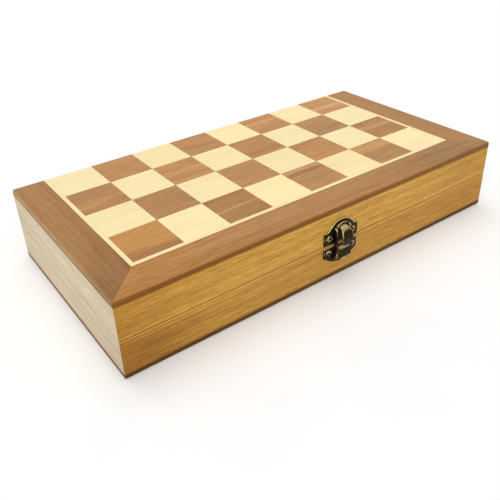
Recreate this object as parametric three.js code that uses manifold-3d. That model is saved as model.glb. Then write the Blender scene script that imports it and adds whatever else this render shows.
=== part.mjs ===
// A folding wooden chess box, closed and latched, with its thirty-two chessmen in slotted inserts.
// Millimetres, +Z up. The origin is the middle of the flat underside, +X runs along the box and
// the latch is on the -Y side. Each half is a shallow tray whose outer face is half a chessboard.
// The hinges are on the +Y side, so the box opens flat and turns over into a full board.
import * as THREE from "three";
import { mergeVertices } from "three/addons/utils/BufferGeometryUtils.js";
import Module from "manifold-3d";

// Driving dimensions
const LENGTH = 300; // the closed box, and the side of the open board
const HEIGHT = 52; // both halves together
const SQUARE = 31.5; // side of one board square
const FILES = 8; // squares along the box
const PANEL = 4; // thickness of a board panel and of its walnut border
const STRINGING = 2.8; // width of the light line round the squares
const WALL = 9; // thickness of a tray wall
const PARTING_GAP = 0.4; // between the rims of the two trays
const GLUE_LINE = 0.1; // between wooden pieces that meet
const EDGE_CHAMFER = 1; // along the outer edges of the border

const WIDTH = LENGTH / 2;
const PARTING = HEIGHT / 2;
const MARGIN = (LENGTH - FILES * SQUARE) / 2; // from the squares to the outer edge
const BORDER = MARGIN - STRINGING; // width of the walnut border
const RIM = PARTING - PARTING_GAP / 2; // depth from an outer face to that tray's rim
const HALF_LENGTH = LENGTH / 2;
const HALF_WIDTH = WIDTH / 2;

// Materials
const wood = (colour, roughness = 0.5) =>
  new THREE.MeshStandardMaterial({ color: colour, roughness, metalness: 0 });
const metal = (colour) =>
  new THREE.MeshStandardMaterial({ color: colour, roughness: 0.4, metalness: 1 });
const OAK = wood(0xc0924f);
const ASH = wood(0xd6c6a2);
const WALNUT = wood(0xa1704c);
const MAPLE = wood(0xf3deab);
const FOAM = wood(0x1e3a2a, 0.95);
const BOXWOOD = wood(0xe2bf83, 0.35);
const SHEESHAM = wood(0x5a3422, 0.35);
const AGED_BRASS = metal(0x6b5a34);
const BRASS = metal(0xb89a56);

// Solid modelling helpers
const wasm = await Module();
wasm.setup();

function solidOf(geometry) {
  const bare = geometry.index ? geometry.toNonIndexed() : geometry.clone();
  for (const name of Object.keys(bare.attributes)) {
    if (name !== "position") bare.deleteAttribute(name);
  }
  const merged = mergeVertices(bare, 1e-4);
  return new wasm.Manifold(
    new wasm.Mesh({
      numProp: 3,
      vertProperties: merged.attributes.position.array,
      triVerts: new Uint32Array(merged.index.array),
    }),
  );
}

function geometryOf(solid) {
  const mesh = solid.getMesh();
  return new THREE.BufferGeometry()
    .setAttribute("position", new THREE.BufferAttribute(mesh.vertProperties, 3))
    .setIndex(new THREE.BufferAttribute(mesh.triVerts, 1));
}

// A block between two opposite corners.
function block([x0, x1], [y0, y1], [z0, z1]) {
  const geometry = new THREE.BoxGeometry(x1 - x0, y1 - y0, z1 - z0);
  return solidOf(geometry.translate((x0 + x1) / 2, (y0 + y1) / 2, (z0 + z1) / 2));
}

function extruded(shape, depth, curveSegments = 6) {
  return new THREE.ExtrudeGeometry(shape, { depth, bevelEnabled: false, curveSegments });
}

function shapeOf(points) {
  return new THREE.Shape(points.map(([x, y]) => new THREE.Vector2(x, y)));
}

// An outline in x and y, from one height to another.
function prism(points, [z0, z1]) {
  return solidOf(extruded(shapeOf(points), z1 - z0).translate(0, 0, z0));
}

// A shape drawn in y and z, run along x.
const YZ_ALONG_X = new THREE.Matrix4().makeBasis(
  new THREE.Vector3(0, 1, 0),
  new THREE.Vector3(0, 0, 1),
  new THREE.Vector3(1, 0, 0),
);
function alongX(shape, [x0, x1]) {
  return solidOf(extruded(shape, x1 - x0).applyMatrix4(YZ_ALONG_X).translate(x0, 0, 0));
}

// A round rod along x.
function rodX(radius, [x0, x1], y, z, segments = 16) {
  const geometry = new THREE.CylinderGeometry(radius, radius, x1 - x0, segments);
  return solidOf(geometry.rotateZ(Math.PI / 2).translate((x0 + x1) / 2, y, z));
}

const model = new THREE.Group();

function add(group, name, shape, material) {
  const mesh = new THREE.Mesh(shape.isBufferGeometry ? shape : geometryOf(shape), material);
  mesh.name = name;
  group.add(mesh);
  return mesh;
}

// The two halves are mirror images across the parting plane, so both are described by the depth
// below their own outer face: z = depth on the base, and HEIGHT - depth on the lid.
const HALVES = [
  { name: "base", group: new THREE.Group(), z: (depth) => depth },
  { name: "lid", group: new THREE.Group(), z: (depth) => HEIGHT - depth },
];
const span = (half, d0, d1) => [half.z(d0), half.z(d1)].sort((a, b) => a - b);

// Hinges: two small butt hinges let into the rims of the rear walls
const HINGE_X = 95; // distance of each hinge from the middle of the box
const LEAF_LENGTH = 25;
const LEAF_WIDTH = 8;
const LEAF_THICKNESS = 1;
const LEAF_INSET = 0.1; // of a leaf below its rim
const KNUCKLE_RADIUS = 2.1;
const KNUCKLE_BORE = 1.2;
const HINGE_PIN_RADIUS = 0.95;
const PIN_HEAD = 0.5; // the pin stands out this far at each end
const MIDDLE_KNUCKLE = 12.4;
const KNUCKLE_GAP = 0.3;
const HINGE_Y = HALF_WIDTH + 0.2; // the hinge line is just behind the rear faces
const MORTISE_CLEARANCE = 0.3;
const LEAF_HOLE_RADIUS = 1.3;
const LEAF_HOLE_X = 8; // from the middle of the leaf
const LEAF_HOLE_Y = HINGE_Y - 5.4;

// Latch, drawn in u across it, v up from the parting plane and w out from the front face
const LATCH_X = 2.5; // the latch is set a little to the right of the middle
const PLATE_HALF_WIDTH = 13.9;
const PLATE_THICKNESS = 1;
const NAIL_HOLE_RADIUS = 0.9;
const BAIL_PIVOT = { v: -10.8, w: 2.5 };
const BAIL_PIN_RADIUS = 0.6;
const BARREL_RADIUS = 1.3;
const BARREL_BORE = 0.68;
const BARREL_HALF_WIDTH = 4.7;
const BAIL_W = [1.4, 2.5]; // the bail's frame, in front of the plates
const TAB_FACE_W = 4.45; // the middle of its finger tab, in front of the barrel
const TAB_THICKNESS = 0.9;
const CHEEK_U = [5.2, 6.4]; // its two side cheeks
const WINDOW_HALF_WIDTH = 4.8;
const NOSE_HALF_WIDTH = 4.3;
const yOut = (w) => -HALF_WIDTH - w;

// Walls: four mitred rails to a tray
function addWalls(half) {
  const g = GLUE_LINE / 2;
  const [ox, oy] = [HALF_LENGTH, HALF_WIDTH];
  const [ix, iy] = [HALF_LENGTH - WALL, HALF_WIDTH - WALL];
  const depth = span(half, PANEL + g, RIM);
  const long = (side) => [
    [-ox + g, side * oy],
    [ox - g, side * oy],
    [ix - g, side * iy],
    [-ix + g, side * iy],
  ];
  const short = (side) => [
    [side * ox, -oy + g],
    [side * ox, oy - g],
    [side * ix, iy - g],
    [side * ix, -iy + g],
  ];
  add(half.group, `${half.name}_front_wall`, prism(long(-1), depth), OAK);
  add(half.group, `${half.name}_left_wall`, prism(short(-1), depth), ASH);
  add(half.group, `${half.name}_right_wall`, prism(short(1), depth), ASH);
  let rear = prism(long(1), depth);
  for (const side of [-1, 1]) {
    const reach = LEAF_LENGTH / 2 + PIN_HEAD + MORTISE_CLEARANCE;
    const x = [side * HINGE_X - reach, side * HINGE_X + reach];
    const leafFloor = RIM - LEAF_INSET - LEAF_THICKNESS - MORTISE_CLEARANCE;
    const leafPocket = [HINGE_Y - LEAF_WIDTH - MORTISE_CLEARANCE, HALF_WIDTH + 1];
    const knuckleRoom = KNUCKLE_RADIUS + MORTISE_CLEARANCE;
    const knucklePocket = [HINGE_Y - knuckleRoom, HALF_WIDTH + 1];
    rear = rear.subtract(block(x, leafPocket, span(half, leafFloor, RIM + 1)));
    rear = rear.subtract(block(x, knucklePocket, span(half, PARTING - knuckleRoom, RIM + 1)));
  }
  add(half.group, `${half.name}_rear_wall`, rear, OAK);
}

// Walnut border: three mitred strips with a chamfered outer edge
function addBorder(half) {
  const g = GLUE_LINE / 2;
  const [ox, oy] = [HALF_LENGTH, HALF_WIDTH];
  const [ix, iy] = [HALF_LENGTH - BORDER, -HALF_WIDTH + BORDER];
  const depth = span(half, 0, PANEL - g);
  const cut = EDGE_CHAMFER * Math.SQRT2;
  const chamfer = (x, y, run, alongLength) => {
    const bar = alongLength
      ? new THREE.BoxGeometry(run, cut, cut).rotateX(Math.PI / 4)
      : new THREE.BoxGeometry(cut, run, cut).rotateY(Math.PI / 4);
    return solidOf(bar.translate(x, y, half.z(0)));
  };
  const front = [
    [-ox + g, -oy],
    [ox - g, -oy],
    [ix - g, iy],
    [-ix + g, iy],
  ];
  const end = (side) => [
    [side * ox, -oy + g],
    [side * ox, oy],
    [side * ix, oy],
    [side * ix, iy + g],
  ];
  const frontStrip = prism(front, depth).subtract(chamfer(0, -oy, LENGTH + 2, true));
  add(half.group, `${half.name}_border_front`, frontStrip, WALNUT);
  for (const [label, side] of [["left", -1], ["right", 1]]) {
    const strip = prism(end(side), depth).subtract(chamfer(side * ox, 0, WIDTH + 2, false));
    add(half.group, `${half.name}_border_${label}`, strip, WALNUT);
  }
}

// Board panel: the plywood field that carries the squares, open to the fold at its rear edge
function addBoardPanel(half) {
  const x = HALF_LENGTH - BORDER - GLUE_LINE;
  const y = [-HALF_WIDTH + BORDER + GLUE_LINE, HALF_WIDTH];
  const panel = block([-x, x], y, span(half, 0, PANEL - GLUE_LINE / 2));
  add(half.group, `${half.name}_board_panel`, panel, MAPLE);
}

// Chessmen. A profile is a list of [radius, height] pairs as shares of the base radius and of the
// full height, from the underside up to the head.
const FOOT = [[0, 0], [1, 0], [1, 0.07], [0.86, 0.11], [0.8, 0.16], [0.5, 0.24]];
const MEN = {
  king: { height: 56, radius: 10.25, top: 0.88, waist: 0.36, collar: 0.62 },
  queen: { height: 50, radius: 9.8, top: 0.93, waist: 0.36, collar: 0.64 },
  bishop: { height: 43, radius: 9, top: 1, waist: 0.34, collar: 0.58 },
  knight: { height: 39, radius: 9, top: 0.3, waist: 0.72, collar: 0.2 },
  rook: { height: 34, radius: 8.8, top: 1, waist: 0.5, collar: 0.62 },
  pawn: { height: 30, radius: 8, top: 1, waist: 0.36, collar: 0.55 },
};
const HEADS = {
  king: [[0.42, 0], [0.66, 0.82], [0.5, 0.94], [0, 1]],
  queen: [[0.4, 0], [0.72, 0.9], [0.5, 0.9], [0.2, 1], [0, 1]],
  bishop: [[0.34, 0], [0.52, 0.3], [0.46, 0.6], [0.16, 0.88], [0, 1]],
  knight: [[0.72, 0], [0.72, 1], [0, 1]],
  rook: [[0.5, 0], [0.76, 0.45], [0.76, 1], [0, 1]],
  pawn: [[0.3, 0], [0.56, 0.3], [0.56, 0.62], [0.3, 0.94], [0, 1]],
};

// The points of a chessman's turned outline, in millimetres.
function profileOf(kind) {
  const { height, radius, top, waist, collar } = MEN[kind];
  const collarHeight = 0.035;
  const points = FOOT.map(([r, h]) => [r, Math.min(h, collar)]);
  if (kind !== "knight") {
    points.push([waist, collar], [waist + 0.26, collar], [waist + 0.26, collar + collarHeight]);
  }
  const start = kind === "knight" ? 0.24 : collar + collarHeight;
  for (const [r, share] of HEADS[kind]) points.push([r, start + share * (top - start)]);
  return points.map(([r, h]) => [r * radius, h * height]);
}

function turned(kind, segments) {
  const outline = profileOf(kind).map(([r, h]) => new THREE.Vector2(r, h));
  return solidOf(new THREE.LatheGeometry(outline, segments));
}

// The knight's head is a flat horse's head that stands on the turned foot.
function horseHead() {
  const { height, radius } = MEN.knight;
  const outline = [
    [-0.62, 0.26], [0.62, 0.26], [0.66, 0.42], [0.4, 0.56], [0.5, 0.6], [0.92, 0.56],
    [1.02, 0.66], [0.6, 0.84], [0.3, 0.92], [0.14, 1], [-0.06, 0.92], [-0.5, 0.8], [-0.78, 0.52],
  ].map(([x, y]) => [x * radius, y * height]);
  const thickness = radius * 0.9;
  return solidOf(extruded(shapeOf(outline), thickness).translate(0, 0, -thickness / 2));
}

// The king's cross, thin along the direction it is seen from when the piece lies in its slot.
function kingsCross() {
  const { height, radius, top } = MEN.king;
  const [half, low, high] = [radius * 0.1, height * (top - 0.02), height];
  const armLow = height * (top + 0.05);
  const post = block([-half, half], [low, high], [-half, half]);
  return post.add(block([-3 * half, 3 * half], [armLow, armLow + 2 * half], [-half, half]));
}

// Four notches across the rook's rim leave its battlements.
function battlementCuts() {
  const { height, radius } = MEN.rook;
  const [notch, floor] = [radius * 0.13, height * 0.9];
  const slot = block([-radius, radius], [floor, height + 1], [-notch, notch]);
  return slot.add(block([-notch, notch], [floor, height + 1], [-radius, radius]));
}

function chessman(kind) {
  const body = turned(kind, kind === "pawn" ? 10 : 12);
  if (kind === "king") return body.add(kingsCross());
  if (kind === "knight") return body.add(horseHead());
  if (kind === "rook") return body.subtract(battlementCuts());
  return body;
}

// Each half holds the men of one colour, lying along y: a row of eight pieces and a row of pawns.
const BACK_RANK = ["rook", "knight", "bishop", "queen", "king", "bishop", "knight", "rook"];
const COLUMN_PITCH = 34.5;
const PIECE_ROW_Y = -33; // middle of the row of pieces
const PAWN_ROW_Y = 40;
const AXIS_DEPTH = PANEL + 11.05; // depth of the men's axes below the outer face
const SLOT_CLEARANCE = 0.5;
const INSERT_GAP = 0.3;

function placesOf() {
  const places = [];
  BACK_RANK.forEach((kind, column) => {
    const x = (column - (FILES - 1) / 2) * COLUMN_PITCH;
    places.push({ kind, column, x, y: PIECE_ROW_Y, towards: 1 });
    places.push({ kind: "pawn", column, x, y: PAWN_ROW_Y, towards: -1 });
  });
  return places;
}

// One man's slot: the outline of the lying piece with clearance, as wide as it is at each height.
function slotOutline({ kind, x, y, towards }) {
  const { height, radius } = MEN[kind];
  const c = SLOT_CLEARANCE;
  const [foot, head] = [radius + c, radius * (kind === "knight" ? 1.04 : 0.8) + c];
  const shoulder = height * 0.3;
  const right = [
    [foot, -height / 2 - c],
    [foot, -height / 2 + height * 0.12 + c],
    [head, -height / 2 + shoulder],
    [head, height / 2 + c],
  ];
  const left = right.map(([u, v]) => [-u, v]).reverse();
  return [...right, ...left].map(([u, v]) => [x + u * towards, y + v * towards]);
}

function addInsert(half) {
  const x = HALF_LENGTH - WALL - INSERT_GAP;
  const y = HALF_WIDTH - WALL - INSERT_GAP;
  let insert = block([-x, x], [-y, y], span(half, PANEL + GLUE_LINE, AXIS_DEPTH));
  for (const place of placesOf()) {
    const floor = AXIS_DEPTH - MEN[place.kind].radius - SLOT_CLEARANCE / 2;
    insert = insert.subtract(prism(slotOutline(place), span(half, floor, AXIS_DEPTH + 1)));
  }
  add(half.group, `${half.name}_insert`, insert, FOAM);
}

function addChessmen(half) {
  const colour = half.name === "base" ? "dark" : "light";
  const seen = {};
  for (const { kind, x, y, towards } of placesOf()) {
    seen[kind] = (seen[kind] ?? 0) + 1;
    const label = kind === "king" || kind === "queen" ? kind : `${kind}_${seen[kind]}`;
    const material = colour === "dark" ? SHEESHAM : BOXWOOD;
    const man = add(half.group, `${colour}_${label}`, chessman(kind), material);
    man.position.set(x, y - (towards * MEN[kind].height) / 2, half.z(AXIS_DEPTH));
    if (towards < 0) man.rotation.z = Math.PI;
  }
}

// One leaf: a plate in its rim and the knuckles that it carries on the hinge line.
function hingeLeaf(half, middle, ownKnuckles, otherKnuckles) {
  const plateDepth = RIM - LEAF_INSET;
  const z = span(half, plateDepth - LEAF_THICKNESS, plateDepth);
  const reach = [middle - LEAF_LENGTH / 2, middle + LEAF_LENGTH / 2];
  let leaf = block(reach, [HINGE_Y - LEAF_WIDTH, HINGE_Y], z);
  const room = KNUCKLE_RADIUS + KNUCKLE_GAP;
  for (const [x0, x1] of otherKnuckles) {
    const x = [x0 - KNUCKLE_GAP, x1 + KNUCKLE_GAP];
    leaf = leaf.subtract(block(x, [HINGE_Y - room, HINGE_Y + room], [0, HEIGHT]));
  }
  for (const x of ownKnuckles) leaf = leaf.add(rodX(KNUCKLE_RADIUS, x, HINGE_Y, PARTING));
  for (const side of [-1, 1]) {
    const hole = new THREE.CylinderGeometry(LEAF_HOLE_RADIUS, LEAF_HOLE_RADIUS, HEIGHT, 12);
    hole.rotateX(Math.PI / 2).translate(middle + side * LEAF_HOLE_X, LEAF_HOLE_Y, PARTING);
    leaf = leaf.subtract(solidOf(hole));
  }
  return leaf.subtract(rodX(KNUCKLE_BORE, [reach[0] - 1, reach[1] + 1], HINGE_Y, PARTING, 12));
}

function addHinges() {
  const [base, lid] = HALVES;
  for (const [label, side] of [["left", -1], ["right", 1]]) {
    const middle = side * HINGE_X;
    const end = LEAF_LENGTH / 2;
    const inner = MIDDLE_KNUCKLE / 2;
    const outer = inner + KNUCKLE_GAP;
    const upper = [[middle - inner, middle + inner]];
    const lower = [[middle - end, middle - outer], [middle + outer, middle + end]];
    add(base.group, `hinge_${label}_lower_leaf`, hingeLeaf(base, middle, lower, upper), BRASS);
    add(lid.group, `hinge_${label}_upper_leaf`, hingeLeaf(lid, middle, upper, lower), BRASS);
    const pinEnds = [middle - end - PIN_HEAD, middle + end + PIN_HEAD];
    add(base.group, `hinge_${label}_pin`, rodX(HINGE_PIN_RADIUS, pinEnds, HINGE_Y, PARTING, 12), BRASS);
  }
}

// A flat shape in u and v, from one distance out of the front face to another.
function facePlate(shape, [w0, w1]) {
  const geometry = extruded(shape, w1 - w0, 8).rotateX(Math.PI / 2);
  return solidOf(geometry.translate(LATCH_X, yOut(w0), PARTING));
}

function withNailHoles(shape, u, v) {
  for (const side of [-1, 1]) {
    const hole = new THREE.Path();
    hole.absarc(side * u, v, NAIL_HOLE_RADIUS, 0, 2 * Math.PI, true);
    shape.holes.push(hole);
  }
  return shape;
}

// Upper plate: square shoulders under a bell-shaped arch
function upperPlateShape() {
  const [bottom, shoulder, apex, arch] = [0.5, 9.8, 16.4, 11];
  const shape = new THREE.Shape();
  shape.moveTo(-PLATE_HALF_WIDTH, bottom);
  shape.lineTo(PLATE_HALF_WIDTH, bottom);
  shape.lineTo(PLATE_HALF_WIDTH, shoulder);
  shape.lineTo(arch, shoulder);
  shape.bezierCurveTo(arch - 2, shoulder + 2.6, arch * 0.55, apex, 0, apex);
  shape.bezierCurveTo(-arch * 0.55, apex, -arch + 2, shoulder + 2.6, -arch, shoulder);
  shape.lineTo(-PLATE_HALF_WIDTH, shoulder);
  shape.closePath();
  return withNailHoles(shape, 9.6, 5.4);
}

// Lower plate: straight sides over a curved foot
function lowerPlateShape() {
  const [top, side, apex] = [-1.2, -8.6, -14.2];
  const shape = new THREE.Shape();
  shape.moveTo(PLATE_HALF_WIDTH, top);
  shape.lineTo(-PLATE_HALF_WIDTH, top);
  shape.lineTo(-PLATE_HALF_WIDTH, side);
  shape.bezierCurveTo(-11, side - 1, -7.5, apex, 0, apex);
  shape.bezierCurveTo(7.5, apex, 11, side - 1, PLATE_HALF_WIDTH, side);
  shape.closePath();
  return withNailHoles(shape, 10, -5.2);
}

// A strip of constant thickness bent along a path drawn in w and v.
function bentStrip(path, thickness, halfWidth) {
  const left = [];
  const right = [];
  path.forEach(([w, v], i) => {
    const [w0, v0] = path[Math.max(i - 1, 0)];
    const [w1, v1] = path[Math.min(i + 1, path.length - 1)];
    const run = Math.hypot(w1 - w0, v1 - v0);
    const [nw, nv] = [(-(v1 - v0) / run) * (thickness / 2), ((w1 - w0) / run) * (thickness / 2)];
    left.push([yOut(w + nw), PARTING + v + nv]);
    right.push([yOut(w - nw), PARTING + v - nv]);
  });
  const outline = [...left, ...right.reverse()];
  const x = [LATCH_X - halfWidth, LATCH_X + halfWidth];
  const points = outline.map(([y, z]) => new THREE.Vector2(y, z));
  if (THREE.ShapeUtils.area(points) < 0) points.reverse();
  return alongX(new THREE.Shape(points), x);
}

// The upper plate's nose leaves the plate under the arch, turns over a rounded brow and hangs
// down in front of the seam. The bail's top bar lies above its root.
const NOSE_PATH = [
  [0.5, 12], [2.4, 11.85], [3.4, 11.5], [4.4, 10.9], [5.3, 10], [6, 8.9], [6.5, 7.6],
  [6.85, 6.1], [7, 4.5], [6.9, 2.8], [6.6, 1.3], [6.2, 0.1],
];
const NOSE_THICKNESS = 1.2;

// Seen from the front the nose is a thumb: a narrow root, a round top and a round tip.
function noseOutline() {
  const [half, tip, rise, shoulder, top] = [NOSE_HALF_WIDTH, -0.4, 4.4, 6.4, 13];
  const shape = new THREE.Shape();
  shape.moveTo(0, tip);
  shape.bezierCurveTo(half * 0.62, tip, half, tip + 1.6, half, rise);
  shape.lineTo(half, shoulder);
  shape.bezierCurveTo(half, shoulder + 3.6, half * 0.7, top, 0, top);
  shape.bezierCurveTo(-half * 0.7, top, -half, shoulder + 3.6, -half, shoulder);
  shape.lineTo(-half, rise);
  shape.bezierCurveTo(-half, tip + 1.6, -half * 0.62, tip, 0, tip);
  return shape;
}

function upperPlate() {
  const plate = facePlate(upperPlateShape(), [0, PLATE_THICKNESS]);
  const strip = bentStrip(NOSE_PATH, NOSE_THICKNESS, NOSE_HALF_WIDTH + 1);
  return plate.add(strip.intersect(facePlate(noseOutline(), [-1, 10])));
}

const pivotY = yOut(BAIL_PIVOT.w);
const pivotZ = PARTING + BAIL_PIVOT.v;

// The lower plate carries a barrel on a web, and the bail's pin runs through the barrel.
function lowerPlate() {
  const x = [LATCH_X - BARREL_HALF_WIDTH, LATCH_X + BARREL_HALF_WIDTH];
  const web = [pivotZ - 0.9, pivotZ + 0.9];
  return facePlate(lowerPlateShape(), [0, PLATE_THICKNESS])
    .add(rodX(BARREL_RADIUS, x, pivotY, pivotZ))
    .add(block(x, [pivotY, yOut(PLATE_THICKNESS / 2)], web))
    .subtract(rodX(BARREL_BORE, [x[0] - 1, x[1] + 1], pivotY, pivotZ));
}

// The bail's frame: an arched sheet whose window the nose comes through
function bailFrameShape() {
  const [low, shoulder, top, half] = [-3.4, 7, 14.6, CHEEK_U[1]];
  const shape = new THREE.Shape();
  shape.moveTo(-half, low);
  shape.lineTo(half, low);
  shape.lineTo(half, shoulder);
  shape.bezierCurveTo(half, shoulder + 4.6, half * 0.6, top, 0, top);
  shape.bezierCurveTo(-half * 0.6, top, -half, shoulder + 4.6, -half, shoulder);
  shape.closePath();
  const [sill, head, round] = [-2.4, 12.9, 2.6];
  const window = new THREE.Path();
  window.moveTo(-WINDOW_HALF_WIDTH, sill);
  window.lineTo(-WINDOW_HALF_WIDTH, head - round);
  window.quadraticCurveTo(-WINDOW_HALF_WIDTH, head, -WINDOW_HALF_WIDTH + round, head);
  window.lineTo(WINDOW_HALF_WIDTH - round, head);
  window.quadraticCurveTo(WINDOW_HALF_WIDTH, head, WINDOW_HALF_WIDTH, head - round);
  window.lineTo(WINDOW_HALF_WIDTH, sill);
  window.closePath();
  shape.holes.push(window);
  return shape;
}

// A cheek of the bail, drawn in y and z: round about the pin, deep at the tab, thin at the top
function cheekShape() {
  const at = (w, v) => [yOut(w), PARTING + v];
  const shape = new THREE.Shape();
  const foot = pivotZ - BARREL_RADIUS;
  shape.moveTo(...at(BAIL_W[0], 11.6));
  shape.lineTo(...at(BAIL_W[0], -9.4));
  shape.quadraticCurveTo(pivotY + BARREL_RADIUS, pivotZ, pivotY + BARREL_RADIUS, pivotZ);
  shape.quadraticCurveTo(pivotY + BARREL_RADIUS, foot, pivotY, foot);
  shape.quadraticCurveTo(...at(3.4, BAIL_PIVOT.v - 0.6), ...at(TAB_FACE_W, -5.4));
  shape.lineTo(...at(TAB_FACE_W, -4.4));
  shape.bezierCurveTo(...at(TAB_FACE_W, 0), ...at(4.3, 3), ...at(4.3, 6.5));
  shape.bezierCurveTo(...at(4.3, 9.6), ...at(3.6, 11.6), ...at(BAIL_W[0], 11.6));
  return shape;
}

// The tab that a fingernail pulls to swing the bail open: it slopes out of the frame, drops, and
// curls out again into a lip.
const TAB_PATH = [
  [2.1, -2.6], [3.1, -3], [3.9, -3.7], [4.3, -4.6], [TAB_FACE_W, -5.8], [TAB_FACE_W, -7.1],
  [4.7, -8.2], [5.3, -9.1], [6.2, -9.7],
];

// Seen from the front the tab has a round foot.
function tabOutline() {
  const [top, side, low, half] = [-2, -4.8, -10.2, CHEEK_U[1]];
  const shape = new THREE.Shape();
  shape.moveTo(half, top);
  shape.lineTo(-half, top);
  shape.lineTo(-half, side);
  shape.bezierCurveTo(-half, side - 3, -half * 0.58, low, 0, low);
  shape.bezierCurveTo(half * 0.58, low, half, side - 3, half, side);
  shape.closePath();
  return shape;
}

function bail() {
  const strip = bentStrip(TAB_PATH, TAB_THICKNESS, CHEEK_U[1] + 1);
  const tab = strip.intersect(facePlate(tabOutline(), [1, 8]));
  let solid = facePlate(bailFrameShape(), BAIL_W).add(tab);
  const bore = [LATCH_X - CHEEK_U[1] - 1, LATCH_X + CHEEK_U[1] + 1];
  for (const side of [-1, 1]) {
    const x = CHEEK_U.map((u) => LATCH_X + side * u).sort((a, b) => a - b);
    solid = solid.add(alongX(cheekShape(), x));
  }
  return solid.subtract(rodX(BARREL_BORE, bore, pivotY, pivotZ));
}

function addLatch() {
  const [base, lid] = HALVES;
  const pinEnds = [LATCH_X - CHEEK_U[1] - 0.3, LATCH_X + CHEEK_U[1] + 0.3];
  const pin = rodX(BAIL_PIN_RADIUS, pinEnds, pivotY, pivotZ);
  add(lid.group, "latch_upper_plate", upperPlate(), AGED_BRASS);
  add(base.group, "latch_lower_plate", lowerPlate(), AGED_BRASS);
  add(base.group, "latch_pin", pin, AGED_BRASS);
  add(model, "latch_bail", bail(), AGED_BRASS);
}

for (const half of HALVES) {
  model.add(half.group);
  addWalls(half);
  addBorder(half);
  addBoardPanel(half);
  addInsert(half);
  addChessmen(half);
}
addHinges();
addLatch();

export default model;
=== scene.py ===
import math
import random

import bmesh
import bpy
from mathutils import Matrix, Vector


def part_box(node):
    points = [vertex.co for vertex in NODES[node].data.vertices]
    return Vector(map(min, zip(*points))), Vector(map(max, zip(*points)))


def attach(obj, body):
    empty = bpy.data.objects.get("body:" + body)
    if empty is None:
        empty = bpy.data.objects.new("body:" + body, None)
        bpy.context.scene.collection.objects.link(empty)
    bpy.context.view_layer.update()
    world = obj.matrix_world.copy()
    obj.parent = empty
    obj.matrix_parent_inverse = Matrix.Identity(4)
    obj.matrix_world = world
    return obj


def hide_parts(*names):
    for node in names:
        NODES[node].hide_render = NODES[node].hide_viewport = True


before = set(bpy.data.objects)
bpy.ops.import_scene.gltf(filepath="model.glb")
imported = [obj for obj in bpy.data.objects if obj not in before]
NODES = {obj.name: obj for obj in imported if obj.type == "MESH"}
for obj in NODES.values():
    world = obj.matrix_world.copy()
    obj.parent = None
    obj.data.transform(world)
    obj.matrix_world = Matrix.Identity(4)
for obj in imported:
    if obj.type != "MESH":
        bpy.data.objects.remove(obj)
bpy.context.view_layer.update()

MM = 0.001


def span(node):
    """The lowest and highest corner of a CAD node, in millimetres."""
    low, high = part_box(node)
    return Vector(low) / MM, Vector(high) / MM


# ---------------------------------------------------------------- node materials


class Shader:
    """A node material under construction. Each call adds a node and returns its output."""

    def __init__(self, name):
        self.material = bpy.data.materials.new(name)
        self.material.use_nodes = True
        self.tree = self.material.node_tree
        self.tree.nodes.clear()
        self.output = self.tree.nodes.new("ShaderNodeOutputMaterial")
        self.surface = self.tree.nodes.new("ShaderNodeBsdfPrincipled")
        self.tree.links.new(self.surface.outputs[0], self.output.inputs[0])

    def put(self, socket, value):
        if isinstance(value, bpy.types.NodeSocket):
            self.tree.links.new(value, socket)
        else:
            socket.default_value = value

    def add(self, kind, inputs, out=0, **settings):
        node = self.tree.nodes.new(kind)
        for key, value in settings.items():
            setattr(node, key, value)
        for key, value in inputs.items():
            self.put(node.inputs[key], value)
        return node.outputs[out]

    def math(self, operation, a, b=0.0):
        return self.add("ShaderNodeMath", {0: a, 1: b}, operation=operation)

    def vector(self, operation, a, b=(0, 0, 0)):
        return self.add("ShaderNodeVectorMath", {0: a, 1: b}, operation=operation)

    def mix(self, factor, a, b, blend="MIX"):
        inputs = {0: factor, 6: a, 7: b}
        return self.add("ShaderNodeMix", inputs, 2, data_type="RGBA", blend_type=blend)

    def noise(self, vector, detail=3.0, roughness=0.55, distortion=0.0):
        inputs = {
            "Vector": vector,
            "Scale": 1.0,
            "Detail": detail,
            "Roughness": roughness,
            "Distortion": distortion,
        }
        return self.add("ShaderNodeTexNoise", inputs)

    def range(self, value, low, high, to_low=0.0, to_high=1.0):
        inputs = {"Value": value, 1: low, 2: high, 3: to_low, 4: to_high}
        return self.add("ShaderNodeMapRange", inputs)

    def millimetres(self, offset=(0, 0, 0)):
        """The object's own coordinates, in millimetres, moved by an offset."""
        place = self.tree.nodes.new("ShaderNodeTexCoord").outputs["Object"]
        inputs = {0: place, 1: (1 / MM, 1 / MM, 1 / MM), 2: offset}
        return self.add("ShaderNodeVectorMath", inputs, operation="MULTIPLY_ADD")

    def parts(self, vector):
        """The three parts of a vector."""
        node = self.tree.nodes.new("ShaderNodeSeparateXYZ")
        self.put(node.inputs[0], vector)
        return node.outputs

    def join(self, x, y, z):
        return self.add("ShaderNodeCombineXYZ", {0: x, 1: y, 2: z})

    def grey(self, value):
        return self.add("ShaderNodeCombineColor", {0: value, 1: value, 2: value})

    def stretched(self, place, lengths):
        """place divided by a length in millimetres along each axis."""
        return self.vector("DIVIDE", place, lengths)

    def bump(self, height, distance, strength):
        inputs = {"Height": height, "Distance": distance, "Strength": strength}
        return self.add("ShaderNodeBump", inputs)

    def finish(self, **inputs):
        for key, value in inputs.items():
            self.put(self.surface.inputs[key.replace("_", " ")], value)
        return self.material


def srgb(red, green, blue):
    """A linear colour from its 0 to 255 screen values."""
    def linear(value):
        value /= 255
        return value / 12.92 if value <= 0.04045 else ((value + 0.055) / 1.055) ** 2.4

    return (linear(red), linear(green), linear(blue))


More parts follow.
